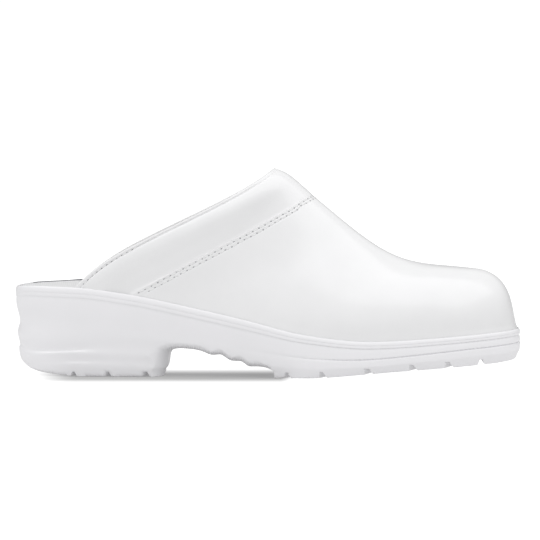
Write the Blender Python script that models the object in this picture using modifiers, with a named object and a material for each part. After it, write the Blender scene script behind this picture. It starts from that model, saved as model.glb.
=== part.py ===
"""White work clog, right shoe: an open-backed leather upper on a moulded sole, with an insole.

Metres, +Z up. The toe points to +X and the outer side of the foot to -Y. The origin is on the floor
under the middle of the shoe. The tables and sizes below are in millimetres.
"""

import math
from collections import namedtuple

import bmesh
import bpy
import numpy as np

MM = 0.001

# Driving sizes
LENGTH = 290.0
HALF = LENGTH / 2
HEEL_ROUND = 46.0
HEEL_SQUARE = 2.3
OUTER_TOE_ROUND = 96.0
INNER_TOE_ROUND = 76.0
TOE_SQUARE = 2.4
TOE_SWING = 4.0
SWING_START = 40.0
GAP = 0.3
SHARP_ANGLE = 35.0

# Sole
RIM_LIP = 1.3
SEAT_DEPTH = 6.0
GROOVE_LIP = 0.5
EDGE_LIFT = 4.2
EDGE_START = 0.74
BREAST_CORNER = 14.0
BREAST_START = 0.5
LONG_GROOVE_DEPTH = 2.4
LONG_GROOVE_WIDTH = 3.0
GROOVE_MOUTH = 1.05
GROOVE_ROOT = 0.25
GROOVE_OVERRUN = 8.0
GROOVE_SECTIONS = 9
OUTLINE_STEPS = 56
FOOT_LINE_STEPS = 400

# Upper
COLLAR_WALL = 2.0
COLLAR_PAD = 1.4
PAD_SKEW = 0.75
PAD_START = 0.05
PAD_FULL = 0.35
PAD_FADE = 0.6
SEAM_WALL = 1.7
VAMP_WALL = 2.4
COLLAR_X = -110.2
SEAM_SHARE = 0.1076
SEAM_STEP = 0.0015
COLLAR_RIBS = 5
VAMP_RIBS = 25
RIB_STEPS = 13
RIB_RISE = 0.4
CROWN_SIDE = 1.0

# Insole
INSOLE_THICKNESS = 3.2
INSOLE_EDGE = 0.7
INSOLE_WIDE_X = COLLAR_X - 8
INSOLE_NARROW_X = COLLAR_X - 3
INSOLE_STEPS = 44
INSOLE_COLUMNS = 7
CUP_POWER = 3.0

# How far the sole's rim reaches to each side, before its ends are rounded, and how high its top lies
Station = namedtuple("Station", "x outer inner rim")
STATIONS = (
    Station(-145, 33.8, 33.2, 50.0),
    Station(-134, 33.8, 33.3, 51.1),
    Station(-110, 33.8, 33.4, 50.6),
    Station(-80, 34.8, 32.8, 46.9),
    Station(-45, 37.4, 33.0, 39.8),
    Station(-10, 43.0, 36.2, 31.9),
    Station(20, 48.6, 42.4, 24.6),
    Station(56, 52.6, 49.0, 21.0),
    Station(95, 52.6, 51.6, 22.7),
    Station(145, 51.0, 51.0, 25.9),
)

# The tread from the heel's rounded back to the toe spring
Tread = namedtuple("Tread", "x z")
TREAD = (
    Tread(-145, 9.5),
    Tread(-141, 7.2),
    Tread(-137.5, 4.8),
    Tread(-134.6, 3.6),
    Tread(-129, 2.1),
    Tread(-120, 1.0),
    Tread(-112, 0.4),
    Tread(-104, 0.0),
    Tread(24, 0.0),
    Tread(36, 0.8),
    Tread(50, 2.0),
    Tread(70, 3.7),
    Tread(105, 5.9),
    Tread(134, 7.6),
    Tread(145, 8.8),
)

# The rim band from its inner lip down to the groove under it: its share of the band and its inset
RimRow = namedtuple("RimRow", "share inset")
RIM_ROWS = (
    RimRow(0.08, RIM_LIP),
    RimRow(0.0, 1.05),
    RimRow(0.05, 0.65),
    RimRow(0.17, 0.33),
    RimRow(0.34, 0.1),
    RimRow(0.5, 0.0),
    RimRow(0.6, 0.3),
    RimRow(0.7, 0.1),
    RimRow(0.91, 0.15),
    RimRow(1.0, 0.6),
)

# The side below that groove. Each row gives, at five places along the sole, how far down it lies
# towards the tread and how far it is set in. It makes the heel's scallops and the forefoot's steps.
Along = namedtuple("Along", "back heel waist ball toe")
PLACES = Along(-143, -105, -25, 35, 112)
BAND_HEIGHTS = Along(6.0, 6.2, 6.0, 4.4, 3.8)
SideRow = namedtuple("SideRow", "drops insets")
SIDE_ROWS = (
    SideRow(Along(0.10, 0.11, 0.10, 0.12, 0.09), Along(0.0, 0.3, 0.5, 0.1, 0.0)),
    SideRow(Along(0.38, 0.33, 0.32, 0.37, 0.235), Along(3.1, 1.2, 0.7, 0.0, 0.0)),
    SideRow(Along(0.56, 0.49, 0.40, 0.41, 0.27), Along(0.6, 0.9, 0.7, 0.7, 0.7)),
    SideRow(Along(0.76, 0.65, 0.47, 0.45, 0.305), Along(2.7, 2.1, 0.8, 0.1, 0.0)),
    SideRow(Along(0.81, 0.68, 0.70, 0.69, 0.60), Along(1.8, 0.9, 1.2, 0.2, 0.0)),
    SideRow(Along(0.92, 0.80, 0.77, 0.74, 0.66), Along(2.2, 2.0, 1.6, 0.7, 0.5)),
    SideRow(Along(0.98, 0.83, 0.92, 0.93, 0.93), Along(3.0, 1.2, 2.2, 2.7, 2.2)),
    SideRow(Along(1.0, 1.0, 1.0, 1.0, 1.0), Along(3.7, 2.7, 3.5, 3.6, 2.7)),
)

# The underside of the waist, from the forefoot tread back over three ribs and down the heel's breast.
# Lift is how much of the rounded side edge, and turn how much of the breast's round corner, it takes.
Arch = namedtuple("Arch", "x z lift turn")
ARCH = (
    Arch(3.6, -6.0, 0.0, 0.0),
    Arch(3.5, 0.0, 0.0, 0.0),
    Arch(3.2, 3.6, 0.2, 0.0),
    Arch(0.6, 5.0, 0.6, 0.0),
    Arch(-5.0, 6.0, 1.0, 0.0),
    Arch(-10.8, 5.6, 1.0, 0.0),
    Arch(-13.4, 7.6, 1.0, 0.0),
    Arch(-15.4, 9.0, 1.0, 0.0),
    Arch(-21.0, 8.6, 1.0, 0.0),
    Arch(-24.6, 11.2, 1.0, 0.0),
    Arch(-26.8, 12.6, 1.0, 0.0),
    Arch(-32.4, 11.7, 1.0, 0.0),
    Arch(-37.4, 14.7, 1.0, 0.1),
    Arch(-44.6, 15.6, 1.0, 0.3),
    Arch(-50.3, 15.9, 1.0, 0.6),
    Arch(-54.0, 14.6, 0.8, 0.9),
    Arch(-56.1, 11.0, 0.4, 1.0),
    Arch(-56.4, 5.0, 0.0, 1.0),
    Arch(-58.6, 3.0, 0.0, 1.0),
    Arch(-58.9, 0.0, 0.0, 1.0),
    Arch(-58.9, -6.0, 0.0, 1.0),
)
ARCH_SHARES = (0.0, 0.4, 0.62, 0.76, 0.86, 0.94, 1.0, 1.3)

# Where the grooves between the lugs reach the sole's edge, how far they sweep forward to its middle,
# and how wide and deep they are
CrossGroove = namedtuple("CrossGroove", "x sweep width depth")
CROSS_GROOVES = (
    CrossGroove(-111.0, 12, 3.0, 2.4),
    CrossGroove(-91.8, 12, 3.0, 2.4),
    CrossGroove(-70.0, 10, 3.2, 2.6),
    CrossGroove(9.2, 24, 3.4, 3.2),
    CrossGroove(29.2, 24, 3.8, 3.6),
    CrossGroove(54.8, 24, 3.8, 3.6),
    CrossGroove(79.8, 22, 3.8, 3.6),
    CrossGroove(100.4, 18, 3.6, 3.4),
    CrossGroove(120.5, 0, 3.2, 3.0),
)

# Where the lengthwise grooves run
LONG_GROOVES = ((-119.0, -66.0), (14.0, 131.0))

# The ridge of the upper, from the collar's peak over the instep to the top of the toe
Crown = namedtuple("Crown", "x z")
CROWN = (
    Crown(2.8, 118.2),
    Crown(12.9, 113.4),
    Crown(24.5, 103.4),
    Crown(36.0, 93.5),
    Crown(47.5, 84.0),
    Crown(59.0, 75.4),
    Crown(70.5, 68.6),
    Crown(82.0, 64.4),
    Crown(93.5, 62.3),
    Crown(105.0, 61.2),
    Crown(118.4, 59.9),
)

# The upper's sections, by their share of the way along its foot line from the collar to the toe's
# tip: where each meets the ridge, how square its shoulder is, how much it leans forward with its
# height, as the collar does, and how far its lower half bows out towards its foot and its upper half
# sags in towards the ridge
Section = namedtuple("Section", "share crown_x square lean bow sag")
SECTIONS = (
    Section(0.0, 2.8, 2.6, 1.0, 0.136, 0.074),
    Section(SEAM_SHARE, 22.8, 2.6, 1.0, 0.0, 0.0),
    Section(0.26, 48.0, 2.45, 0.9, 0.0, 0.0),
    Section(0.42, 72.0, 2.35, 0.55, 0.0, 0.0),
    Section(0.57, 91.0, 2.35, 0.25, 0.0, 0.0),
    Section(0.69, 104.0, 2.4, 0.1, 0.0, 0.0),
    Section(0.80, 112.0, 2.35, 0.0, -0.03, 0.0),
    Section(0.90, 116.7, 2.3, 0.0, -0.07, 0.0),
    Section(1.0, 118.4, 2.2, 0.0, -0.105, 0.0),
)

# How far the insole's edge rises above its middle on each side
Cup = namedtuple("Cup", "x outer inner")
CUPS = (
    Cup(-145, 1.2, 1.2),
    Cup(-139, 1.2, 2.0),
    Cup(-128, 1.2, 2.4),
    Cup(-118, 1.2, 2.9),
    Cup(-108, 1.2, 4.0),
    Cup(-60, 1.2, 3.6),
    Cup(-10, 1.0, 1.9),
    Cup(40, 0.8, 1.0),
    Cup(145, 0.5, 0.5),
)


def fair_curve(xs, ys):
    """A natural cubic spline through the points, as a function of x."""
    xs, ys = np.asarray(xs, float), np.asarray(ys, float)
    gaps = np.diff(xs)
    slopes = np.diff(ys) / gaps
    matrix = np.eye(len(xs))
    right = np.zeros(len(xs))
    for i in range(1, len(xs) - 1):
        matrix[i, i - 1:i + 2] = gaps[i - 1], 2 * (gaps[i - 1] + gaps[i]), gaps[i]
        right[i] = 6 * (slopes[i] - slopes[i - 1])
    bends = np.linalg.solve(matrix, right)

    def at(x):
        x = np.clip(x, xs[0], xs[-1])
        i = np.clip(np.searchsorted(xs, x) - 1, 0, len(gaps) - 1)
        back = (xs[i + 1] - x) / gaps[i]
        ahead = 1 - back
        bend = (back ** 3 - back) * bends[i] + (ahead ** 3 - ahead) * bends[i + 1]
        return back * ys[i] + ahead * ys[i + 1] + bend * gaps[i] ** 2 / 6

    return at


def level_curve(xs, ys):
    """A cubic through the points that never overshoots, and stays level between equal heights."""
    xs, ys = np.asarray(xs, float), np.asarray(ys, float)
    gaps = np.diff(xs)
    slopes = np.diff(ys) / gaps
    tangents = np.zeros(len(xs))
    tangents[0], tangents[-1] = slopes[0], slopes[-1]
    for i in range(1, len(xs) - 1):
        if slopes[i - 1] * slopes[i] > 0:
            tangents[i] = 2 * slopes[i - 1] * slopes[i] / (slopes[i - 1] + slopes[i])

    def at(x):
        x = np.clip(x, xs[0], xs[-1])
        i = np.clip(np.searchsorted(xs, x) - 1, 0, len(gaps) - 1)
        t = (x - xs[i]) / gaps[i]
        start = (1 + 2 * t) * (1 - t) ** 2 * ys[i] + t * (1 - t) ** 2 * gaps[i] * tangents[i]
        end = t * t * (3 - 2 * t) * ys[i + 1] - t * t * (1 - t) * gaps[i] * tangents[i + 1]
        return start + end

    return at


def column(rows, name):
    return [getattr(row, name) for row in rows]


def over_x(rows, name, curve=fair_curve):
    """One named column of a table as a smooth function of the table's x."""
    return curve(column(rows, "x"), column(rows, name))


outer_reach = over_x(STATIONS, "outer")
inner_reach = over_x(STATIONS, "inner")
rim_top = over_x(STATIONS, "rim", level_curve)
tread = over_x(TREAD, "z", level_curve)
crown_height = over_x(CROWN, "z")


def seat(x):
    return rim_top(x) - SEAT_DEPTH


def smooth_step(low, high, x):
    t = np.clip((x - low) / (high - low), 0, 1)
    return t * t * (3 - 2 * t)


def centre(x):
    """The foot's middle line, which swings inwards at the toe."""
    return TOE_SWING * smooth_step(SWING_START, HALF, x)


def end_round(x, toe_round):
    """1 along the middle of the sole, falling to 0 at its round heel and toe."""
    heel = np.clip((HEEL_ROUND - HALF - x) / HEEL_ROUND, 0, 1)
    toe = np.clip((x - HALF + toe_round) / toe_round, 0, 1)
    heel_share = (1 - heel ** HEEL_SQUARE) ** (1 / HEEL_SQUARE)
    return heel_share * (1 - toe ** TOE_SQUARE) ** (1 / TOE_SQUARE)


def edge_y(x, side):
    """The sole's edge at x: side -1 is the outer edge and side 1 the inner one."""
    if side < 0:
        return centre(x) - outer_reach(x) * end_round(x, OUTER_TOE_ROUND)
    return centre(x) + inner_reach(x) * end_round(x, INNER_TOE_ROUND)


def outline(steps, inset):
    """The sole's edge in plan, set in by a distance or by a function of x.

    It runs from the heel along the outer side to the toe and back along the inner side.
    """
    xs = -HALF * np.cos(np.pi * np.arange(steps + 1) / steps)
    outer = np.column_stack([xs, edge_y(xs, -1)])
    inner = np.column_stack([xs, edge_y(xs, 1)])[-2:0:-1]
    ring = np.concatenate([outer, inner])
    along = np.roll(ring, -1, axis=0) - np.roll(ring, 1, axis=0)
    along /= np.linalg.norm(along, axis=1)[:, None]
    inward = np.column_stack([-along[:, 1], along[:, 0]])
    depth = inset(ring[:, 0]) if callable(inset) else np.full(len(ring), inset)
    return ring + inward * depth[:, None]


def ring_at(steps, inset, height):
    """A closed ring of 3D points: the outline at an inset, with its height a function of x."""
    plan = outline(steps, inset)
    return np.column_stack([plan, height(plan[:, 0])])


def add_verts(bm, points):
    return [bm.verts.new(np.asarray(point) * MM) for point in points]


def loft(bm, rings):
    """Quads between each ring of vertices and the next."""
    for upper, lower in zip(rings, rings[1:]):
        for i in range(len(upper)):
            j = (i + 1) % len(upper)
            bm.faces.new((upper[i], upper[j], lower[j], lower[i]))


def grid(bm, rows):
    """Quads between each row of vertices and the next, leaving out faces that shrink to an edge."""
    for row, ahead in zip(rows, rows[1:]):
        for j in range(len(row) - 1):
            corners = dict.fromkeys((row[j], row[j + 1], ahead[j + 1], ahead[j]))
            if len(corners) > 2:
                bm.faces.new(corners)


def cross_rows(ring, between=None):
    """Rows from the outer to the inner side of a ring, with any vertices in between."""
    half = len(ring) // 2
    middle = between or [[] for _ in range(half + 1)]
    width = len(middle[1]) + 2
    rows = [[ring[0]] * width]
    rows += [[ring[i], *middle[i], ring[-i]] for i in range(1, half)]
    return rows + [[ring[half]] * width]


def face_out(bm):
    bmesh.ops.recalc_face_normals(bm, faces=bm.faces)


def make_object(name, bm, collection, material=None):
    mesh = bpy.data.meshes.new(name)
    bm.to_mesh(mesh)
    bm.free()
    obj = bpy.data.objects.new(name, mesh)
    collection.objects.link(obj)
    if material:
        mesh.materials.append(material)
        mesh.shade_smooth()
        mesh.set_sharp_from_angle(angle=math.radians(SHARP_ANGLE))
    else:
        obj.hide_render = True
        obj.display_type = "WIRE"
    return obj


def make_material(name, color, roughness):
    material = bpy.data.materials.new(name)
    material.use_nodes = True
    shader = material.node_tree.nodes["Principled BSDF"]
    shader.inputs["Base Color"].default_value = (*color, 1)
    shader.inputs["Roughness"].default_value = roughness
    shader.inputs["Metallic"].default_value = 0.0
    return material


def make_sole(parts, cutters):
    """The moulded sole: rings from the seat over the rim and down the side, then its cuts."""
    band = level_curve(PLACES, BAND_HEIGHTS)
    rings = [ring_at(OUTLINE_STEPS, RIM_LIP, seat)]
    for row in RIM_ROWS:
        rings.append(ring_at(OUTLINE_STEPS, row.inset, lambda x: rim_top(x) - row.share * band(x)))

    def under_groove(x):
        return rim_top(x) - band(x) - GROOVE_LIP

    for row in SIDE_ROWS:
        drop = level_curve(PLACES, row.drops)
        inset = level_curve(PLACES, row.insets)

        def side_height(x):
            return under_groove(x) - drop(x) * (under_groove(x) - tread(x))

        rings.append(ring_at(OUTLINE_STEPS, inset, side_height))
    bm = bmesh.new()
    verts = [add_verts(bm, ring) for ring in rings]
    loft(bm, verts)
    grid(bm, cross_rows(verts[0]))
    grid(bm, cross_rows(verts[-1]))
    face_out(bm)
    sole = make_object("sole", bm, parts, make_material("sole polyurethane", (0.80, 0.80, 0.82), 0.45))
    for name, cutter_set in (
        ("arch", [arch_cutter()]),
        ("cross grooves", [cross_groove(groove) for groove in CROSS_GROOVES]),
        ("long grooves", [long_groove(*ends) for ends in LONG_GROOVES]),
    ):
        folder = bpy.data.collections.new(name)
        cutters.children.link(folder)
        for cutter in cutter_set:
            make_object(f"{name} cutter", cutter, folder)
        cut = sole.modifiers.new(name, "BOOLEAN")
        cut.operation = "DIFFERENCE"
        cut.solver = "EXACT"
        cut.operand_type = "COLLECTION"
        cut.collection = folder


def quarter_rise(start, share):
    """0 up to the start share, then rising as a quarter circle to 1 at a share of 1."""
    t = np.clip((share - start) / (1 - start), 0, 1)
    return 1 - math.sqrt(1 - t * t)


def arch_cutter():
    """What is cut away under the waist, as profiles along the foot set side by side across it."""
    bm = bmesh.new()
    rows = []
    shares = [-share for share in ARCH_SHARES[:0:-1]] + list(ARCH_SHARES)
    for share in shares:
        points = []
        for row in ARCH:
            x = row.x - row.turn * BREAST_CORNER * quarter_rise(BREAST_START, abs(share))
            z = row.z + row.lift * EDGE_LIFT * quarter_rise(EDGE_START, abs(share))
            y = centre(x) + abs(share) * (edge_y(x, math.copysign(1, share)) - centre(x))
            points.append((x, y, z))
        rows.append(add_verts(bm, points))
    loft(bm, rows)
    bm.faces.new(rows[0])
    bm.faces.new(rows[-1])
    face_out(bm)
    return bm


def bar(sections):
    """A cutter bar through sections of four corners each."""
    bm = bmesh.new()
    rows = [add_verts(bm, section) for section in sections]
    loft(bm, rows)
    bm.faces.new(rows[0])
    bm.faces.new(rows[-1])
    face_out(bm)
    return bm


def groove_corners(width, depth):
    """The corners of a groove's section, across and up: wide at its mouth and narrower at its root."""
    mouth, root = width * GROOVE_MOUTH, width * GROOVE_ROOT
    return ((-mouth, -depth), (mouth, -depth), (root, depth), (-root, depth))


def cross_groove(groove):
    """A groove across the tread, which sweeps forward from both of the sole's edges to its middle."""
    edge = -edge_y(groove.x, -1)
    reach = edge + GROOVE_OVERRUN
    corners = groove_corners(groove.width, groove.depth)
    sections = []
    for y in np.linspace(-reach, reach, GROOVE_SECTIONS):
        x = groove.x + groove.sweep * (1 - abs(y) / edge)
        sections.append([(x + across, y, tread(x) + up) for across, up in corners])
    return bar(sections)


def long_groove(start_x, end_x):
    """A groove along the foot's middle line."""
    corners = groove_corners(LONG_GROOVE_WIDTH, LONG_GROOVE_DEPTH)
    sections = []
    for x in np.linspace(start_x, end_x, GROOVE_SECTIONS):
        sections.append([(x, centre(x) + across, tread(x) + up) for across, up in corners])
    return bar(sections)


def foot_line(side):
    """The lining's edge on the seat from the collar to the toe's tip, as a function of its share."""
    plan = outline(FOOT_LINE_STEPS, RIM_LIP + GAP + VAMP_WALL)
    if side > 0:
        plan = np.roll(plan[::-1], 1, axis=0)
    half = plan[:FOOT_LINE_STEPS + 1]
    half = half[half[:, 0] >= COLLAR_X]
    runs = np.linalg.norm(np.diff(half, axis=0), axis=1)
    shares = np.concatenate([[0], np.cumsum(runs)]) / runs.sum()

    def at(share):
        return np.array([np.interp(share, shares, half[:, 0]), np.interp(share, shares, half[:, 1])])

    return at


def lining_crown(x):
    """The lining's ridge and its slope: the outer ridge lowered by the wall, square to the slope."""
    slope = crown_height(x + 0.5) - crown_height(x - 0.5)
    return crown_height(x) - VAMP_WALL * math.hypot(1, slope), slope


def rib(foot, share):
    """One section of the lining on one side, from its foot on the seat up to the ridge."""
    shares = column(SECTIONS, "share")
    crown_x = fair_curve(shares, column(SECTIONS, "crown_x"))(share)
    power = 2 / fair_curve(shares, column(SECTIONS, "square"))(share)
    lean = level_curve(shares, column(SECTIONS, "lean"))(share)
    bow = level_curve(shares, column(SECTIONS, "bow"))(share)
    sag = level_curve(shares, column(SECTIONS, "sag"))(share)
    foot_x, foot_y = foot(share)
    crown_y = centre(crown_x) + CROWN_SIDE
    crown_z, slope = lining_crown(crown_x)
    start_z = rim_top(foot_x) + RIB_RISE
    turn = np.linspace(0, math.pi / 2, RIB_STEPS + 1)
    away = np.clip(np.cos(turn), 0, 1) ** power
    up = np.sin(turn) ** power
    away[-1] = 0
    curve = 4 * up * (1 - up) * (bow * (1 - up) - sag * up)
    x = crown_x + (foot_x - crown_x) * (lean * (1 - up) + (1 - lean) * away + curve)
    y = crown_y + (foot_y - crown_y) * away
    z = start_z + (crown_z - start_z) * up
    z += slope * (foot_x - crown_x) * (1 - lean) * away * up ** 2
    foot_point = (foot_x, foot_y, seat(foot_x) + GAP)
    return np.concatenate([[foot_point], np.column_stack([x, y, z])])


def wall_at(share, rise):
    """The wall's thickness at a share along the foot line and a share of the way up a section.

    The collar band is padded on both sides, and thin at its seam. The vamp over it is thicker, by
    a step that fades out at the ridge.
    """
    if share > SEAM_SHARE:
        return VAMP_WALL
    along = share / SEAM_SHARE
    ridge = smooth_step(PAD_FADE, 1, rise)
    seam = SEAM_WALL + (VAMP_WALL - SEAM_WALL) * ridge
    edge = COLLAR_WALL + (seam - COLLAR_WALL) * along
    pad = COLLAR_PAD * smooth_step(PAD_START, PAD_FULL, rise) * (1 - ridge)
    return edge + pad * math.sin(math.pi * along ** PAD_SKEW)


def make_upper(parts):
    """The leather upper: its lining lofted through sections, then thickened outwards."""
    shares = list(np.linspace(0, SEAM_SHARE, COLLAR_RIBS + 1))
    shares += list(np.linspace(SEAM_SHARE + SEAM_STEP, 1, VAMP_RIBS + 1))
    bm = bmesh.new()
    thickness = []
    outer_rows, inner_rows = [], []
    outer_foot, inner_foot = foot_line(-1), foot_line(1)
    for share in shares:
        outer = add_verts(bm, rib(outer_foot, share))
        inner = outer
        if share < 1:
            inner = add_verts(bm, rib(inner_foot, share)[:-1]) + outer[-1:]
        outer_rows.append(outer)
        inner_rows.append(inner)
        walls = [wall_at(share, (i - 1) / RIB_STEPS) for i in range(len(outer))]
        thickness += walls
        if share < 1:
            thickness += walls[:-1]
    grid(bm, outer_rows)
    grid(bm, inner_rows)
    face_out(bm)
    bm.faces.ensure_lookup_table()
    highest = max(bm.faces, key=lambda face: face.calc_center_median().z)
    if highest.normal.z < 0:
        bmesh.ops.reverse_faces(bm, faces=bm.faces)
    upper = make_object("upper", bm, parts, make_material("white leather", (0.86, 0.86, 0.85), 0.4))
    group = upper.vertex_groups.new(name="wall")
    widest = max(thickness)
    for index, wall in enumerate(thickness):
        group.add([index], wall / widest, "REPLACE")
    shell = upper.modifiers.new("wall", "SOLIDIFY")
    shell.thickness = widest * MM
    shell.offset = 1
    shell.use_even_offset = True
    shell.use_quality_normals = True
    shell.vertex_group = group.name


def make_insole(parts):
    """The footbed: flat on the seat, with a cupped edge that rises on the inner side of the arch."""
    beside_rim = RIM_LIP + GAP
    beside_upper = RIM_LIP + VAMP_WALL + 3 * GAP

    def inset(x):
        return beside_rim + (beside_upper - beside_rim) * smooth_step(INSOLE_WIDE_X, INSOLE_NARROW_X, x)

    rises = {-1: over_x(CUPS, "outer", level_curve), 1: over_x(CUPS, "inner", level_curve)}

    def top(x, share):
        """The top's height at x, with the share of the way across from -1 outside to 1 inside."""
        side = -1 if share < 0 else 1
        return seat(x) + GAP + INSOLE_THICKNESS + rises[side](x) * abs(share) ** CUP_POWER

    bm = bmesh.new()
    low = ring_at(INSOLE_STEPS, inset, lambda x: seat(x) + GAP)
    rim = outline(INSOLE_STEPS, lambda x: inset(x) + INSOLE_EDGE)
    sides = np.where(np.arange(len(rim)) <= INSOLE_STEPS, -1, 1)
    heights = np.array([top(x, side) for (x, _), side in zip(rim, sides)])
    high = np.column_stack([rim, heights])
    mid = np.column_stack([low[:, :2], heights - INSOLE_EDGE])
    low, mid, high = (add_verts(bm, ring) for ring in (low, mid, high))
    loft(bm, [low, mid, high])
    middles = [[] for _ in range(INSOLE_STEPS + 1)]
    for i in range(1, INSOLE_STEPS):
        for share in np.linspace(-1, 1, INSOLE_COLUMNS + 2)[1:-1]:
            x, y = rim[i] + (rim[-i] - rim[i]) * (share + 1) / 2
            middles[i] += add_verts(bm, [(x, y, top(x, share))])
    grid(bm, cross_rows(low))
    grid(bm, cross_rows(high, middles))
    face_out(bm)
    make_object("insole", bm, parts, make_material("insole cover", (0.78, 0.78, 0.78), 0.7))


def main():
    for obj in list(bpy.data.objects):
        bpy.data.objects.remove(obj)
    parts = bpy.data.collections.new("clog")
    cutters = bpy.data.collections.new("cutters")
    for collection in (parts, cutters):
        bpy.context.scene.collection.children.link(collection)
    make_sole(parts, cutters)
    make_upper(parts)
    make_insole(parts)


main()
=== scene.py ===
"""The looks of a white work clog for the right foot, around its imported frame.

The leather upper, the moulded sole and the insole are smoothed copies of the frame's solids. Stitches,
needle holes and the insole's binding are modelled on them. Metres, +Z up, toe to +X. Sizes named in
millimetres are multiplied by MM.
"""

import math
from collections import namedtuple

import bpy
import bmesh
import numpy as np
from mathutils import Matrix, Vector
from mathutils.bvhtree import BVHTree
from mathutils.geometry import interpolate_bezier
from mathutils.kdtree import KDTree


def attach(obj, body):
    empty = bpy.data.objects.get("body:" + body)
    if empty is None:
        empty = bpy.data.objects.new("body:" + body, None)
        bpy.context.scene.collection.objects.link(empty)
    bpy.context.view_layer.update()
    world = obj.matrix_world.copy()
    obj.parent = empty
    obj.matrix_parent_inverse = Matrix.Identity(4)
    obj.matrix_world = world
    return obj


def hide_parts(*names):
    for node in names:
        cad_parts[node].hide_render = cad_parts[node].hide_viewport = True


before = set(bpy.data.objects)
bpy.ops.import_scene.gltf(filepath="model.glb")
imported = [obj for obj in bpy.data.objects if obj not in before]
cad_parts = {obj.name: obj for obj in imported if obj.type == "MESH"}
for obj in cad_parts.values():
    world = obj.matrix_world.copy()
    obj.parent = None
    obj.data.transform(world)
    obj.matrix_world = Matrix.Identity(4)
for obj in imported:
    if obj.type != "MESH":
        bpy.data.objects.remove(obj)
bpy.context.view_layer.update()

MM = 0.001

# Camera: a long lens a little above the shoe, square to its outer side
CAMERA_PLACE = (1.1 * MM, -2000 * MM, 155 * MM)
CAMERA_AIM = (1.1 * MM, 0, 58.9 * MM)
LENS = 232.6
SENSOR = 36.0
VIEW_END = 100.0

# Tent: an even white light from all round and a white backdrop. The gloss mirrors it dimmer near the
# horizon, between these sines of the height above it
SURROUND = 1.07
BACKDROP = 1.05
LOW_GLOSS = 0.45
HIGH_GLOSS = 1.0
LOW_SINE = 0.05
HIGH_SINE = 0.58

# Panel: a light over the shoe that shows in the gloss alone
PANEL_LENGTH = 3.24
PANEL_DEPTH = 1.78
PANEL_PLACE = (0.05, -0.23, 1.26)
PANEL_WATTS = 14.0

# Table: it glows from below, but for a painted shade, set by place, under the rear half of the shoe. The
# first two strengths light the shoe, from beside the painted shade and from within it, and the third is the
# glow seen in the painted shade
TABLE_SIZE = 24.0
TABLE_DROP = 0.1 * MM
TABLE_LIGHT = 0.47
UNDER_LIGHT = 0.27
SHADE_GLOW = 0.25

# The painted shade's edges at the ball, behind the heel, in front of the shoe and under its inner side: the
# axis that each lies across, where the painted shade begins to fade and where it has gone
ShadeEdge = namedtuple("ShadeEdge", "axis start end")
SHADE_EDGES = (
    ShadeEdge("X", 6 * MM, 16 * MM),
    ShadeEdge("X", -106 * MM, -142 * MM),
    ShadeEdge("Y", -42 * MM, -86 * MM),
    ShadeEdge("Y", -16 * MM, 40 * MM),
)

# Copies of the solids: how near vertices merge, how much two triangles of a quad may turn and skew,
# which edges are sharp, and how keen the sharp edges of each piece stay when it is smoothed
MERGE = 0.005 * MM
QUAD_TURN = math.radians(25)
QUAD_SKEW = math.radians(80)
SHARP = math.radians(30)
SOLE_ANGLES = [math.radians(angle) for angle in range(30, 70, 5)]
SHADED_SHARP = math.radians(60)
LEVELS = 2
KEEN_EDGE = 0.9
SOLE_EDGE = 0.8
INSOLE_EDGE = 0.7

# The collar's edge is rolled: its keenness, and how near that line an edge belongs to it
ROLLED_EDGE = 0.25
NEAR_EDGE = 3 * MM

# A line along sharp edges goes on where the next edge keeps its way, by the cosine of the turn
STRAIGHT_ON = 0.8

# Places on the upper: the collar's edge on the ridge and the band ahead of it, the vamp's edge on the
# ridge and at both sides, and the band ahead of that. Each band gets more loops
COLLAR_EDGE = Vector((3.7, 1, 117.4)) * MM
COLLAR_BAND = Vector((5.6, 1, 116.6)) * MM
COLLAR_LOOPS = 5
VAMP_EDGE = Vector((24.6, 1, 103.3)) * MM
VAMP_SIDES = (Vector((-30, -31, 72)) * MM, Vector((-30, 30, 72)) * MM)
VAMP_BAND = Vector((27.4, 1, 101.0)) * MM
VAMP_LOOPS = 6

# The vamp's edge over the ridge: the points of each half, and how far its curve is pulled along the
# sides and level with the ridge, as shares of that half's length
RIDGE_STEPS = 12
SIDE_PULL = 1 / 3
LEVEL_PULL = 1 / 2

# How far ahead of the frame's step the vamp's edge is sewn, where that way is measured from, and how
# near the step the vertices are that move with it
EDGE_SHIFT = 1.7 * MM
EDGE_START = 1.0 * MM
EDGE_REACH = 1.2 * MM

# A row of stitches: the edge that it follows, its distance ahead of that edge, the pitch of its
# stitches, the depth and width of the trough that it presses, and how high its needle holes reach
Seam = namedtuple("Seam", "edge distance pitch depth width holes_top")

# The two rows on the vamp
SEAM_ROWS = (1.0 * MM, 2.9 * MM)
SEAM_PITCH = 4.1 * MM
SEAM_TROUGH = 0.25 * MM
SEAM_WIDTH = 0.6 * MM

# The row on the collar, which stands further from the edge at the collar's foot
COLLAR_ROW = 1.8 * MM
FOOT_SPREAD = 1.0 * MM
FOOT_HEIGHT = 12 * MM
COLLAR_PITCH = 3.4 * MM
COLLAR_TROUGH = 0.9 * MM
COLLAR_WIDTH = 0.5 * MM
COLLAR_HOLES = 72 * MM

# Rows begin this far above the rim. Troughs follow points at this step, reach this many widths, and
# fade to a share of their depth between two heights at the collar's crest
RIM_CLEAR = 0.3 * MM
ROW_STEP = 0.8 * MM
TROUGH_REACH = 3
CREST_LOW = 105 * MM
CREST_HIGH = 114 * MM
CREST_SHARE = 0.25

# The leather's puff beside the collar: how far its middle lies from the edge, its rise and its width
PUFF_ROW = 8.0 * MM
PUFF_RISE = 1.3 * MM
PUFF_WIDTH = 6.0 * MM

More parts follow.
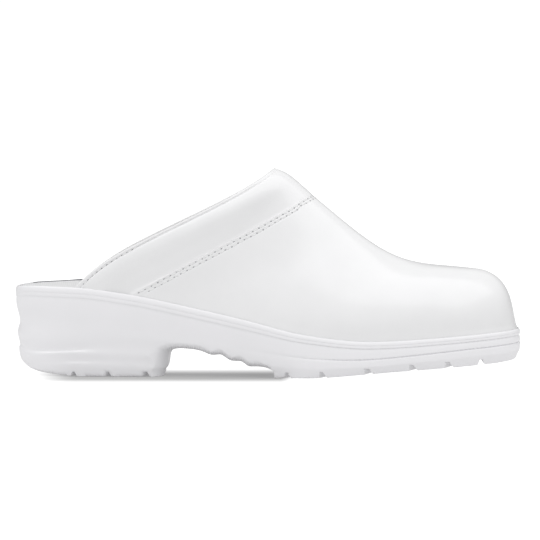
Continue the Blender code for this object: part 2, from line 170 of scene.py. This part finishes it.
# One stitch: its thread, how far it arches and how deep it sits, and its share of the pitch
STITCH_WIDTH = 0.6 * MM
STITCH_RISE = 0.28 * MM
SEAM_SINK = 0.16 * MM
COLLAR_SINK = 0.3 * MM
STITCH_SHARE = 0.86
STITCH_SIDES = 8
STITCH_RINGS = 9

# One needle hole, a dark dish of painted shade: its size, how far its edge stands off the leather, and the
# insets of its rings as shares of its width
HOLE_LENGTH = 1.05 * MM
HOLE_WIDTH = 0.8 * MM
HOLE_DEPTH = 0.07 * MM
HOLE_LIFT = 0.1 * MM
HOLE_SIDES = 10
HOLE_INSETS = (0.2, 0.15)

# The sole's rim: at how many places its height is read, and how far to both sides of each
RIM_PLACES = 60
RIM_SLICE = 4 * MM

# The middle of the foot from the collar to the toes
FOOT_LINE = [Vector(p) * MM for p in ((-110, 0, 62), (-30, 0, 62), (30, 0, 56), (80, 2, 40), (112, 3, 38))]

# How far the upper's foot and the insole's side swell to meet the rim, how far the upper does at the
# toe and where that sets in, and over what height above the rim it fades
SNUG = 0.25 * MM
TOE_SNUG = 0.55 * MM
TOE_START = 98 * MM
TOE_FULL = 126 * MM
SNUG_FADE = 2 * MM

# Where the rim is within reach, the insole's side stops just short of it. A side faces out this much
SNUG_REACH = 1.2 * MM
SNUG_CLEAR = 0.03 * MM
SIDE_FACING = 0.3

# The insole's binding: a place on the edge that it follows, where it ends at the heel, and its bead
BINDING_PLACE = Vector((-126, 26, 51)) * MM
BINDING_BACK = -136 * MM
BINDING_STEP = 1.5 * MM
BINDING_RADIUS = 0.42 * MM
BEAD_ROUND = 2
BEAD_STEPS = 4

# A wave texture at scale 1 repeats after this length
WAVE_LENGTH = math.tau / 20


def alone(obj):
    """Makes one object the selected and active one."""
    bpy.ops.object.select_all(action="DESELECT")
    obj.select_set(True)
    bpy.context.view_layer.objects.active = obj


def quad_copy(node, name):
    """A copy of a solid's mesh, merged and joined into quads."""
    piece = bpy.data.objects.new(name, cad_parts[node].data.copy())
    bpy.context.scene.collection.objects.link(piece)
    piece.data.materials.clear()
    alone(piece)
    bpy.ops.object.mode_set(mode="EDIT")
    bpy.ops.mesh.select_mode(type="EDGE")
    bpy.ops.mesh.select_all(action="SELECT")
    bpy.ops.mesh.customdata_custom_splitnormals_clear()
    bpy.ops.mesh.remove_doubles(threshold=MERGE)
    bpy.ops.mesh.tris_convert_to_quads(face_threshold=QUAD_TURN, shape_threshold=QUAD_SKEW)
    bpy.ops.mesh.select_all(action="DESELECT")
    bpy.ops.object.mode_set(mode="OBJECT")
    return piece


def middle(piece, edge):
    first, second = (piece.data.vertices[i].co for i in edge.vertices)
    return (first + second) / 2


def add_loops(piece, place, cuts):
    """Cuts loops into the band of quads round a piece that the edge nearest a place crosses."""
    nearest = min(piece.data.edges, key=lambda edge: (middle(piece, edge) - place).length)
    nearest.select = True
    alone(piece)
    bpy.ops.object.mode_set(mode="EDIT")
    bpy.ops.mesh.loop_multi_select(ring=True)
    bpy.ops.mesh.subdivide(number_cuts=cuts)
    bpy.ops.mesh.select_all(action="DESELECT")
    bpy.ops.object.mode_set(mode="OBJECT")


def crease(piece, value, angles=(SHARP,), rolled=None):
    """Creases a piece's sharp edges, so that they stay keen when it is smoothed, but for a rolled line.

    With several angles the crease grows with an edge's sharpness.
    """
    alone(piece)
    bpy.ops.object.mode_set(mode="EDIT")
    for angle in angles:
        bpy.ops.mesh.select_all(action="DESELECT")
        bpy.ops.mesh.edges_select_sharp(sharpness=angle)
        bpy.ops.transform.edge_crease(value=value / len(angles))
    bpy.ops.object.mode_set(mode="OBJECT")
    if rolled is not None:
        for edge in piece.data.edges:
            gaps = np.linalg.norm(rolled - np.array(middle(piece, edge)), axis=1)
            edge.select = edge.select and gaps.min() < NEAR_EDGE
        bpy.ops.object.mode_set(mode="EDIT")
        bpy.ops.transform.edge_crease(value=ROLLED_EDGE - value)
        bpy.ops.object.mode_set(mode="OBJECT")
    bpy.ops.object.mode_set(mode="EDIT")
    bpy.ops.mesh.select_all(action="DESELECT")
    bpy.ops.object.mode_set(mode="OBJECT")


def smooth(piece):
    """Smooths a piece with its creases, and shades it smooth but for its sharp edges."""
    subdivision = piece.modifiers.new("smooth", "SUBSURF")
    subdivision.levels = LEVELS
    subdivision.render_levels = LEVELS
    alone(piece)
    bpy.ops.object.modifier_apply(modifier=subdivision.name)
    bpy.ops.object.shade_smooth_by_angle(angle=SHADED_SHARP)


def surface_of(piece):
    return BVHTree.FromObject(piece, bpy.context.evaluated_depsgraph_get())


def tree_of(points):
    tree = KDTree(len(points))
    for index, point in enumerate(points):
        tree.insert(point, index)
    tree.balance()
    return tree


def rim_of(piece):
    """The height of the sole's rim, as a function of x."""
    points = np.array([vert.co for vert in piece.data.vertices])
    places = np.linspace(points[:, 0].min(), points[:, 0].max(), RIM_PLACES)
    tops = [points[np.abs(points[:, 0] - x) < RIM_SLICE][:, 2].max() for x in places]
    return lambda x: np.interp(x, places, tops)


def edge_line(piece, near):
    """Points along the sharp edge of a piece nearest a place, from one end to the other or once round."""
    bm = bmesh.new()
    bm.from_mesh(piece.data)
    sharp = {edge for edge in bm.edges if edge.is_manifold and edge.calc_face_angle() > SHARP}
    first = min(sharp, key=lambda edge: ((edge.verts[0].co + edge.verts[1].co) / 2 - near).length)
    halves = []
    for vert in first.verts:
        line = [vert.co.copy()]
        edge = first
        while True:
            ahead = (vert.co - edge.other_vert(vert).co).normalized()
            turns = {}
            for other in vert.link_edges:
                if other in sharp and other is not edge:
                    turns[other] = ahead.dot((other.other_vert(vert).co - vert.co).normalized())
            edge = max(turns, key=turns.get, default=None)
            if edge is None or turns[edge] < STRAIGHT_ON or edge is first:
                break
            vert = edge.other_vert(vert)
            line.append(vert.co.copy())
        halves.append(line[::-1] if not halves else line)
        if edge is first:
            break
    bm.free()
    return np.concatenate(halves)


def rising(line, rim_height):
    """A line of points from its foot to its top, above the sole's rim."""
    if line[0, 2] > line[-1, 2]:
        line = line[::-1]
    return line[rim_height(line[:, 0]) < line[:, 2]]


def over_ridge(outer, ridge, inner):
    """A smooth curve from the top of the outer line over the ridge to the top of the inner line."""
    outer_top = Vector(outer[-1])
    inner_top = Vector(inner[-1])
    level = (inner_top - outer_top).normalized()
    curves = []
    for start, end in ((outer_top, ridge), (ridge, inner_top)):
        across = level * ((end - start).length * LEVEL_PULL)
        upright = (end - start) * SIDE_PULL
        first, second = (upright, across) if start is outer_top else (across, upright)
        curves += interpolate_bezier(start, start + first, end - second, end, RIDGE_STEPS)
    return np.array(curves)


def spaced(points, pitch):
    """Points at a steady pitch along a line of points."""
    runs = np.linalg.norm(np.diff(points, axis=0), axis=1)
    length = np.concatenate([[0], np.cumsum(runs)])
    count = max(2, round(length[-1] / pitch))
    places = np.linspace(0, length[-1], count + 1)
    return np.column_stack([np.interp(places, length, points[:, i]) for i in range(3)])


def beside(surface, line, distance):
    """The points on a surface ahead of an edge, at one distance or at one for each of its points."""
    along = np.gradient(line, axis=0)
    along /= np.linalg.norm(along, axis=1)[:, None]
    ahead = np.array([1.0, 0, 0]) - along * along[:, :1]
    ahead /= np.linalg.norm(ahead, axis=1)[:, None]
    places = line + ahead * np.reshape(distance, (-1, 1))
    return np.array([surface.find_nearest(Vector(place))[0] for place in places])


def row_on(surface, line, distance, pitch, rim_height):
    """A row of points on a surface beside an edge, each with its normal, from the rim up and over."""
    row = beside(surface, line, distance)
    row = row[rim_height(row[:, 0]) + RIM_CLEAR < row[:, 2]]
    found = [surface.find_nearest(Vector(point)) for point in spaced(row, pitch)]
    return np.array([hit[0] for hit in found]), np.array([hit[1] for hit in found])


def move_edge(piece, line, shift):
    """Moves the vertices of an edge by the shift of the nearest point of its line."""
    tree = tree_of(line)
    for vert in piece.data.vertices:
        _, index, gap = tree.find(vert.co)
        if gap < EDGE_REACH:
            vert.co += Vector(shift[index])


def press(piece, row, depth, width):
    """Presses a soft trough into a piece along a row of points, or with a depth below 0 puffs up a ridge.

    It fades at the collar's crest.
    """
    points, normals = row
    crest = np.interp(points[:, 2], (CREST_LOW, CREST_HIGH), (1, CREST_SHARE))
    tree = tree_of(points)
    moves = []
    for vert in piece.data.vertices:
        _, index, gap = tree.find(vert.co)
        outward = vert.normal.dot(Vector(normals[index]))
        if gap < TROUGH_REACH * width and outward > 0:
            push = depth * crest[index] * outward * math.exp(-(gap / width) ** 2)
            moves.append((vert, vert.normal * -push))
    for vert, move in moves:
        vert.co += move


def to_foot(place):
    """The way from a place to the nearest point of a line through the middle of the foot."""
    ways = []
    for start, end in zip(FOOT_LINE, FOOT_LINE[1:]):
        run = end - start
        share = min(1, max(0, (place - start).dot(run) / run.length_squared))
        ways.append(start + run * share - place)
    return min(ways, key=lambda way: way.length)


def settle(piece, rim_height):
    """Swells the foot of the upper's outer wall until it sits snug in the sole's rim."""
    for vert in piece.data.vertices:
        above = vert.co.z - rim_height(vert.co.x)
        out = Vector((vert.normal.x, vert.normal.y, 0))
        if above < SNUG_FADE and vert.normal.dot(to_foot(vert.co)) < 0:
            swell = np.interp(vert.co.x, (TOE_START, TOE_FULL), (SNUG, TOE_SNUG))
            vert.co += out * (swell * min(1, 1 - above / SNUG_FADE))


def widen(piece, wall):
    """Widens the insole's side until it sits snug, at the heel against the sole's rim."""
    for vert in piece.data.vertices:
        out = Vector((vert.normal.x, vert.normal.y, 0))
        if out.length > SIDE_FACING:
            gap = wall.ray_cast(vert.co, out, SNUG_REACH)[3]
            vert.co += out * SNUG if gap is None else out.normalized() * (gap - SNUG_CLEAR)


def many(name, template, frames):
    """One mesh of many copies of a template, each in a frame of a place and three axes."""
    points = np.array([vert.co for vert in template.vertices])
    faces = [tuple(face.vertices) for face in template.polygons]
    verts = []
    polygons = []
    for place, axes in frames:
        offset = len(verts)
        verts += [tuple(place + point @ axes) for point in points]
        polygons += [tuple(index + offset for index in face) for face in faces]
    mesh = bpy.data.meshes.new(name)
    mesh.from_pydata(verts, [], polygons)
    mesh.shade_smooth()
    piece = bpy.data.objects.new(name, mesh)
    bpy.context.scene.collection.objects.link(piece)
    return piece


def stitch_template(length, sink):
    """One stitch: a short thread that arches over the leather and dips into it at both ends."""
    bpy.ops.object.select_all(action="DESELECT")
    bpy.ops.mesh.primitive_uv_sphere_add(segments=STITCH_SIDES, ring_count=STITCH_RINGS, radius=0.5)
    ball = bpy.context.object
    bpy.ops.object.mode_set(mode="EDIT")
    bpy.ops.mesh.select_all(action="SELECT")
    bpy.ops.transform.rotate(value=math.pi / 2, orient_axis="Y", center_override=(0, 0, 0))
    bpy.ops.object.mode_set(mode="OBJECT")
    for vert in ball.data.vertices:
        share = 2 * vert.co.x
        vert.co.x *= length
        vert.co.y *= STITCH_WIDTH
        vert.co.z = vert.co.z * STITCH_WIDTH + STITCH_RISE * (1 - share ** 2) - sink
    return ball


def hole_template():
    """One needle hole: a shallow dish that lies just off the leather, coloured as the hole's painted shade.
    """
    bpy.ops.object.select_all(action="DESELECT")
    bpy.ops.mesh.primitive_circle_add(vertices=HOLE_SIDES, radius=0.5, fill_type="NGON")
    dish = bpy.context.object
    bpy.ops.object.mode_set(mode="EDIT")
    bpy.ops.mesh.select_all(action="SELECT")
    for inset in HOLE_INSETS:
        bpy.ops.mesh.inset(thickness=inset, depth=0)
    bpy.ops.object.mode_set(mode="OBJECT")
    for vert in dish.data.vertices:
        reach = 2 * math.hypot(vert.co.x, vert.co.y)
        vert.co.z = HOLE_DEPTH * (reach ** 2 - 1) + HOLE_LIFT
        vert.co.x *= HOLE_LENGTH
        vert.co.y *= HOLE_WIDTH
    return dish


def frames_along(points, normals, midway):
    """Frames at the points of a row, or midway between them, with x along the row and z off the surface."""
    if midway:
        places = (points[1:] + points[:-1]) / 2
        along = points[1:] - points[:-1]
        up = normals[1:] + normals[:-1]
    else:
        places = points
        along = np.gradient(points, axis=0)
        up = normals
    frames = []
    for place, x, z in zip(places, along, up):
        z = z / np.linalg.norm(z)
        x = x - z * (x @ z)
        x = x / np.linalg.norm(x)
        frames.append((place, np.array([x, np.cross(z, x), z])))
    return frames


def bound_part(loop):
    """The part of the insole's edge that is bound: all but the heel's back."""
    loop = spaced(np.concatenate([loop, loop[:1]]), BINDING_STEP)[:-1]
    bound = loop[:, 0] > BINDING_BACK
    start = np.flatnonzero(bound & ~np.roll(bound, 1))[0]
    return np.roll(loop, -start, axis=0)[:bound.sum()]


def bead(name, points, radius):
    """A thin bead along a line of points."""
    data = bpy.data.curves.new(name, "CURVE")
    data.dimensions = "3D"
    data.bevel_depth = radius
    data.bevel_resolution = BEAD_ROUND
    data.resolution_u = BEAD_STEPS
    data.use_fill_caps = True
    spline = data.splines.new("BEZIER")
    spline.bezier_points.add(len(points) - 1)
    for point, place in zip(spline.bezier_points, points):
        point.co = place
        point.handle_left_type = "AUTO"
        point.handle_right_type = "AUTO"
    piece = bpy.data.objects.new(name, data)
    bpy.context.scene.collection.objects.link(piece)
    alone(piece)
    bpy.ops.object.convert(target="MESH")
    piece = bpy.context.object
    piece.data.shade_smooth()
    return piece


def linear(code):
    """An sRGB hex colour as the linear values that Blender's sockets take."""
    values = [int(code[i:i + 2], 16) / 255 for i in (1, 3, 5)]
    return [v / 12.92 if v <= 0.04045 else ((v + 0.055) / 1.055) ** 2.4 for v in values] + [1.0]


def add(nodes, kind, links=None, **settings):
    """Adds a node, sets its properties and sockets, and links the sockets that links names."""
    node = nodes.new(kind)
    tree = node.id_data
    for name, value in settings.items():
        if hasattr(node, name):
            setattr(node, name, value)
        else:
            node.inputs[name.replace("_", " ")].default_value = value
    for socket, source in (links or {}).items():
        tree.links.new(source, node.inputs[socket])
    return node


def new_material(name):
    """A node material, its node tree and its shader."""
    material = bpy.data.materials.new(name)
    material.use_nodes = True
    tree = material.node_tree
    return material, tree, tree.nodes["Principled BSDF"]


def white_leather():
    """Smooth corrected-grain leather with a white pigment coat.

    To the eye it is an even white with a soft satin highlight. The grain's cells, about 0.4 mm on the
    real leather, are drawn 0.9 mm wide to show in the render.
    """
    material, tree, shader = new_material("white coated leather")
    nodes = tree.nodes
    place = add(nodes, "ShaderNodeTexCoord").outputs["Object"]
    grain = add(nodes, "ShaderNodeTexVoronoi", {"Vector": place}, feature="SMOOTH_F1", Scale=1 / (0.9 * MM))
    cloud = add(nodes, "ShaderNodeTexNoise", {"Vector": place}, Scale=1 / (14 * MM), Detail=3.0)
    tone = add(nodes, "ShaderNodeMix", {"Factor": cloud.outputs["Fac"]}, data_type="RGBA",
               A=linear("#E9E9EA"), B=linear("#EEEEEF"))
    tree.links.new(tone.outputs["Result"], shader.inputs["Base Color"])
    gloss = add(nodes, "ShaderNodeMapRange", {"Value": cloud.outputs["Fac"]}, To_Min=0.30, To_Max=0.38)
    tree.links.new(gloss.outputs["Result"], shader.inputs["Roughness"])
    bump = add(nodes, "ShaderNodeBump", {"Height": grain.outputs["Distance"]},
               Strength=0.08, Distance=0.05 * MM)
    tree.links.new(bump.outputs["Normal"], shader.inputs["Normal"])
    shader.inputs["IOR"].default_value = 1.5
    shader.inputs["Coat Weight"].default_value = 1.0
    shader.inputs["Coat Roughness"].default_value = 0.2
    return material


def lining_leather():
    """Undyed pigskin lining: pale and matt, with a short nap in tufts of about 1.2 mm."""
    material, tree, shader = new_material("pale lining leather")
    nodes = tree.nodes
    place = add(nodes, "ShaderNodeTexCoord").outputs["Object"]
    nap = add(nodes, "ShaderNodeTexNoise", {"Vector": place}, Scale=1 / (1.2 * MM), Detail=4.0)
    tone = add(nodes, "ShaderNodeMix", {"Factor": nap.outputs["Fac"]}, data_type="RGBA",
               A=linear("#E8E8E8"), B=linear("#F2F2F2"))
    tree.links.new(tone.outputs["Result"], shader.inputs["Base Color"])
    bump = add(nodes, "ShaderNodeBump", {"Height": nap.outputs["Fac"]}, Strength=0.25, Distance=0.1 * MM)
    tree.links.new(bump.outputs["Normal"], shader.inputs["Normal"])
    shader.inputs["Roughness"].default_value = 0.75
    return material


def moulded_polyurethane():
    """Foamed polyurethane with a skin from the mould: a cool white, a low sheen and a fine eggshell.

    The faces of the tread, which look down, carry fine ribs across the shoe, 2.4 mm apart. They show at
    the heel's rounded end.
    """
    material, tree, shader = new_material("moulded polyurethane")
    nodes = tree.nodes
    coordinates = add(nodes, "ShaderNodeTexCoord")
    place = coordinates.outputs["Object"]
    fine = add(nodes, "ShaderNodeTexNoise", {"Vector": place}, Scale=1 / (0.8 * MM), Detail=3.0)
    cloud = add(nodes, "ShaderNodeTexNoise", {"Vector": place}, Scale=1 / (20 * MM), Detail=2.0)
    tone = add(nodes, "ShaderNodeMix", {"Factor": cloud.outputs["Fac"]}, data_type="RGBA",
               A=linear("#EDEDEF"), B=linear("#F1F0F3"))
    tree.links.new(tone.outputs["Result"], shader.inputs["Base Color"])
    ribs = add(nodes, "ShaderNodeTexWave", {"Vector": place}, bands_direction="X",
               Scale=WAVE_LENGTH / (2.4 * MM))
    facing = add(nodes, "ShaderNodeSeparateXYZ", {"Vector": coordinates.outputs["Normal"]}).outputs["Z"]
    under = add(nodes, "ShaderNodeMapRange", {"Value": facing}, From_Min=-0.6, From_Max=-0.8)
    tread = add(nodes, "ShaderNodeMath", {0: ribs.outputs["Fac"], 1: under.outputs["Result"]},
                operation="MULTIPLY")
    skin = add(nodes, "ShaderNodeBump", {"Height": fine.outputs["Fac"]}, Strength=0.15, Distance=0.06 * MM)
    bump = add(nodes, "ShaderNodeBump", {"Height": tread.outputs[0], "Normal": skin.outputs["Normal"]},
               Strength=0.8, Distance=0.5 * MM)
    tree.links.new(bump.outputs["Normal"], shader.inputs["Normal"])
    shader.inputs["Roughness"].default_value = 0.4
    shader.inputs["IOR"].default_value = 1.5
    shader.inputs["Coat Weight"].default_value = 0.8
    shader.inputs["Coat Roughness"].default_value = 0.3
    return material


def insole_cloth():
    """A matt woven polyester cover over foam, a pale grey.

    Its threads, 0.5 mm apart on the real cover, are drawn 1.2 mm apart to show.
    """
    material, tree, shader = new_material("woven insole cover")
    nodes = tree.nodes
    place = add(nodes, "ShaderNodeTexCoord").outputs["Object"]
    threads = WAVE_LENGTH / (1.2 * MM)
    warp = add(nodes, "ShaderNodeTexWave", {"Vector": place}, bands_direction="X", Scale=threads)
    weft = add(nodes, "ShaderNodeTexWave", {"Vector": place}, bands_direction="Y", Scale=threads)
    weave = add(nodes, "ShaderNodeMath", {0: warp.outputs["Fac"], 1: weft.outputs["Fac"]},
                operation="MULTIPLY")
    tone = add(nodes, "ShaderNodeMix", {"Factor": weave.outputs[0]}, data_type="RGBA",
               A=linear("#D6D6D7"), B=linear("#E4E4E5"))
    tree.links.new(tone.outputs["Result"], shader.inputs["Base Color"])
    bump = add(nodes, "ShaderNodeBump", {"Height": weave.outputs[0]}, Strength=0.3, Distance=0.15 * MM)
    tree.links.new(bump.outputs["Normal"], shader.inputs["Normal"])
    shader.inputs["Roughness"].default_value = 0.8
    return material


def binding_tape():
    """Grey binding tape, matt, with an uneven weave of about 0.6 mm."""
    material, tree, shader = new_material("grey binding tape")
    nodes = tree.nodes
    place = add(nodes, "ShaderNodeTexCoord").outputs["Object"]
    weave = add(nodes, "ShaderNodeTexNoise", {"Vector": place}, Scale=1 / (0.6 * MM), Detail=2.0)
    tone = add(nodes, "ShaderNodeMix", {"Factor": weave.outputs["Fac"]}, data_type="RGBA",
               A=linear("#77787C"), B=linear("#8B8C90"))
    tree.links.new(tone.outputs["Result"], shader.inputs["Base Color"])
    bump = add(nodes, "ShaderNodeBump", {"Height": weave.outputs["Fac"]}, Strength=0.3, Distance=0.1 * MM)
    tree.links.new(bump.outputs["Normal"], shader.inputs["Normal"])
    shader.inputs["Roughness"].default_value = 0.85
    return material


def sewing_thread():
    """White bonded polyester thread with a little sheen. Its twist shows as slanting ribs, 0.5 mm apart."""
    material, tree, shader = new_material("white sewing thread")
    nodes = tree.nodes
    place = add(nodes, "ShaderNodeTexCoord").outputs["Object"]
    twist = add(nodes, "ShaderNodeTexWave", {"Vector": place}, bands_direction="DIAGONAL",
                Scale=WAVE_LENGTH / (0.5 * MM))
    tone = add(nodes, "ShaderNodeMix", {"Factor": twist.outputs["Fac"]}, data_type="RGBA",
               A=linear("#E6E6E6"), B=linear("#F6F6F6"))
    tree.links.new(tone.outputs["Result"], shader.inputs["Base Color"])
    bump = add(nodes, "ShaderNodeBump", {"Height": twist.outputs["Fac"]}, Strength=0.4, Distance=0.1 * MM)
    tree.links.new(bump.outputs["Normal"], shader.inputs["Normal"])
    shader.inputs["Roughness"].default_value = 0.5
    return material


def needle_shade():
    """The inside of a needle hole as painted shade: a matt grey, varied in tufts of 0.4 mm."""
    material, tree, shader = new_material("painted needle hole shade")
    nodes = tree.nodes
    place = add(nodes, "ShaderNodeTexCoord").outputs["Object"]
    shade_tufts = add(nodes, "ShaderNodeTexNoise", {"Vector": place}, Scale=1 / (0.4 * MM), Detail=2.0)
    tone = add(nodes, "ShaderNodeMix", {"Factor": shade_tufts.outputs["Fac"]}, data_type="RGBA",
               A=linear("#9A9A9C"), B=linear("#B2B2B5"))
    tree.links.new(tone.outputs["Result"], shader.inputs["Base Color"])
    shader.inputs["Roughness"].default_value = 0.9
    return material


def camera():
    """A camera on the shoe's outer side, with colours shown as they are."""
    data = bpy.data.cameras.new("camera")
    data.lens = LENS
    data.sensor_width = SENSOR
    data.clip_end = VIEW_END
    obj = bpy.data.objects.new("camera", data)
    obj.location = CAMERA_PLACE
    obj.rotation_euler = (Vector(CAMERA_AIM) - Vector(CAMERA_PLACE)).to_track_quat("-Z", "Y").to_euler()
    bpy.context.scene.collection.objects.link(obj)
    bpy.context.scene.camera = obj
    bpy.context.scene.view_settings.view_transform = "Standard"


def table():
    """A white table that glows from below, with a soft painted shade under the rear half of the shoe.

    The camera sees its full glow, dimmed in the painted shade. The shoe is lit by less of it, and by the
    least from the painted shade.
    """
    bpy.ops.object.select_all(action="DESELECT")
    bpy.ops.mesh.primitive_plane_add(size=TABLE_SIZE, location=(0, 0, -TABLE_DROP))
    floor = bpy.context.object
    floor.name = "floor"
    material, tree, shader = new_material("white table")
    nodes = tree.nodes
    shader.inputs["Base Color"].default_value = linear("#949494")
    shader.inputs["Roughness"].default_value = 0.9
    shader.inputs["Specular IOR Level"].default_value = 0.0
    shader.inputs["Emission Color"].default_value = linear("#FFFFFF")
    place = add(nodes, "ShaderNodeTexCoord").outputs["Object"]
    axes = add(nodes, "ShaderNodeSeparateXYZ", {"Vector": place}).outputs
    # The painted shade: a smooth ramp at each of its four edges, set by place on the table
    ramps = []
    for edge in SHADE_EDGES:
        ramp = add(nodes, "ShaderNodeMapRange", {"Value": axes[edge.axis]}, interpolation_type="SMOOTHSTEP",
                   From_Min=edge.start, From_Max=edge.end, To_Min=1.0, To_Max=0.0)
        ramps.append(ramp.outputs["Result"])
    shade = ramps[0]
    for ramp in ramps[1:]:
        shade = add(nodes, "ShaderNodeMath", {0: shade, 1: ramp}, operation="MULTIPLY").outputs[0]
    glow = add(nodes, "ShaderNodeMapRange", {"Value": shade}, To_Min=1.0, To_Max=SHADE_GLOW)
    light = add(nodes, "ShaderNodeMapRange", {"Value": shade}, To_Min=TABLE_LIGHT, To_Max=UNDER_LIGHT)
    seen = add(nodes, "ShaderNodeLightPath").outputs["Is Camera Ray"]
    lit = add(nodes, "ShaderNodeMix",
              {"Factor": seen, "A": light.outputs["Result"], "B": glow.outputs["Result"]})
    tree.links.new(lit.outputs["Result"], shader.inputs["Emission Strength"])
    floor.data.materials.append(material)


def tent():
    """An even white light from all round, which the gloss mirrors dimmer near the horizon."""
    world = bpy.data.worlds.new("studio")
    bpy.context.scene.world = world
    world.use_nodes = True
    world.cycles.sampling_method = "NONE"
    nodes = world.node_tree.nodes
    background = nodes["Background"]
    background.inputs["Color"].default_value = linear("#FFFFFF")
    way = add(nodes, "ShaderNodeTexCoord").outputs["Generated"]
    sine = add(nodes, "ShaderNodeSeparateXYZ", {"Vector": way}).outputs["Z"]
    mirrored = add(nodes, "ShaderNodeMapRange", {"Value": sine}, interpolation_type="SMOOTHSTEP",
                   From_Min=LOW_SINE, From_Max=HIGH_SINE, To_Min=LOW_GLOSS, To_Max=HIGH_GLOSS)
    rays = add(nodes, "ShaderNodeLightPath").outputs
    given = add(nodes, "ShaderNodeMix",
                {"Factor": rays["Is Glossy Ray"], "B": mirrored.outputs["Result"]}, A=SURROUND)
    shown = add(nodes, "ShaderNodeMix",
                {"Factor": rays["Is Camera Ray"], "A": given.outputs["Result"]}, B=BACKDROP)
    world.node_tree.links.new(shown.outputs["Result"], background.inputs["Strength"])


def panel():
    """A large soft light over the shoe that shows in the gloss alone."""
    data = bpy.data.lights.new("panel", "AREA")
    data.shape = "RECTANGLE"
    data.size = PANEL_LENGTH
    data.size_y = PANEL_DEPTH
    data.energy = PANEL_WATTS
    light = bpy.data.objects.new("panel", data)
    light.location = PANEL_PLACE
    light.visible_diffuse = False
    bpy.context.scene.collection.objects.link(light)


def stand_for(piece, node):
    """Puts a piece in a solid's place on the shoe's one body."""
    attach(piece, "root")
    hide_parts(node)


# Camera and studio
camera()
table()
tent()
panel()

# Sole
sole = quad_copy("sole", "moulded_sole")
crease(sole, SOLE_EDGE, SOLE_ANGLES)
smooth(sole)
sole.data.materials.append(moulded_polyurethane())
stand_for(sole, "sole")
rim_height = rim_of(sole)

# Insole and its binding
insole = quad_copy("insole", "insole_cover")
insole_line = edge_line(insole, BINDING_PLACE)
crease(insole, INSOLE_EDGE)
smooth(insole)
widen(insole, surface_of(sole))
insole.data.materials.append(insole_cloth())
stand_for(insole, "insole")
binding = bead("insole_binding", bound_part(insole_line), BINDING_RADIUS)
binding.data.materials.append(binding_tape())
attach(binding, "root")

# The lines of the collar's and the vamp's edges, from a smoothed pattern of the upper
pattern = quad_copy("upper", "pattern")
crease(pattern, KEEN_EDGE)
smooth(pattern)
collar_line = edge_line(pattern, COLLAR_EDGE)
outer_seam, inner_seam = (rising(edge_line(pattern, place), rim_height) for place in VAMP_SIDES)
ridge = over_ridge(outer_seam, VAMP_EDGE, inner_seam)
step_line = np.concatenate([outer_seam[:-1], ridge, inner_seam[-2::-1]])
pattern_surface = surface_of(pattern)
shifted = beside(pattern_surface, step_line, EDGE_START + EDGE_SHIFT)
shift = shifted - beside(pattern_surface, step_line, EDGE_START)
seam_line = step_line + shift
bpy.data.objects.remove(pattern)

# Upper
upper = quad_copy("upper", "leather_upper")
move_edge(upper, step_line, shift)
add_loops(upper, COLLAR_BAND, COLLAR_LOOPS)
add_loops(upper, VAMP_BAND, VAMP_LOOPS)
crease(upper, KEEN_EDGE, rolled=collar_line)
smooth(upper)
settle(upper, rim_height)
puff = row_on(surface_of(upper), collar_line, PUFF_ROW, ROW_STEP, rim_height)
press(upper, puff, -PUFF_RISE, PUFF_WIDTH)
seams = [Seam(seam_line, distance, SEAM_PITCH, SEAM_TROUGH, SEAM_WIDTH, math.inf) for distance in SEAM_ROWS]
foot_share = 1 - (collar_line[:, 2] - rim_height(collar_line[:, 0])) / FOOT_HEIGHT
collar_row = COLLAR_ROW + FOOT_SPREAD * np.clip(foot_share, 0, 1)
seams.append(Seam(collar_line, collar_row, COLLAR_PITCH, COLLAR_TROUGH, COLLAR_WIDTH, COLLAR_HOLES))
puffed_surface = surface_of(upper)
for seam in seams:
    trough = row_on(puffed_surface, seam.edge, seam.distance, ROW_STEP, rim_height)
    press(upper, trough, seam.depth, seam.width)
upper.data.materials.append(white_leather())
upper.data.materials.append(lining_leather())
for face in upper.data.polygons:
    face.material_index = face.normal.dot(to_foot(face.center)) > 0
stand_for(upper, "upper")

# Needle holes, as dishes of painted shade, and stitches
pressed_surface = surface_of(upper)
stitch_rows = []
hole_frames = []
for seam in seams:
    points, normals = row_on(pressed_surface, seam.edge, seam.distance, seam.pitch, rim_height)
    stitch_rows.append(frames_along(points, normals, True))
    hole_frames += [one for one in frames_along(points, normals, False) if one[0][2] < seam.holes_top]
dish = hole_template()
# The dishes paint the shade inside the needle holes
holes = many("painted_needle_hole_shade", dish.data, hole_frames)
holes.data.materials.append(needle_shade())
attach(holes, "root")
bpy.data.objects.remove(dish)
white_thread = sewing_thread()
for name, frames, pitch, sink in (
    ("seam_thread", stitch_rows[0] + stitch_rows[1], SEAM_PITCH, SEAM_SINK),
    ("collar_thread", stitch_rows[2], COLLAR_PITCH, COLLAR_SINK),
):
    stitch = stitch_template(pitch * STITCH_SHARE, sink)
    thread = many(name, stitch.data, frames)
    thread.data.materials.append(white_thread)
    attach(thread, "root")
    bpy.data.objects.remove(stitch)
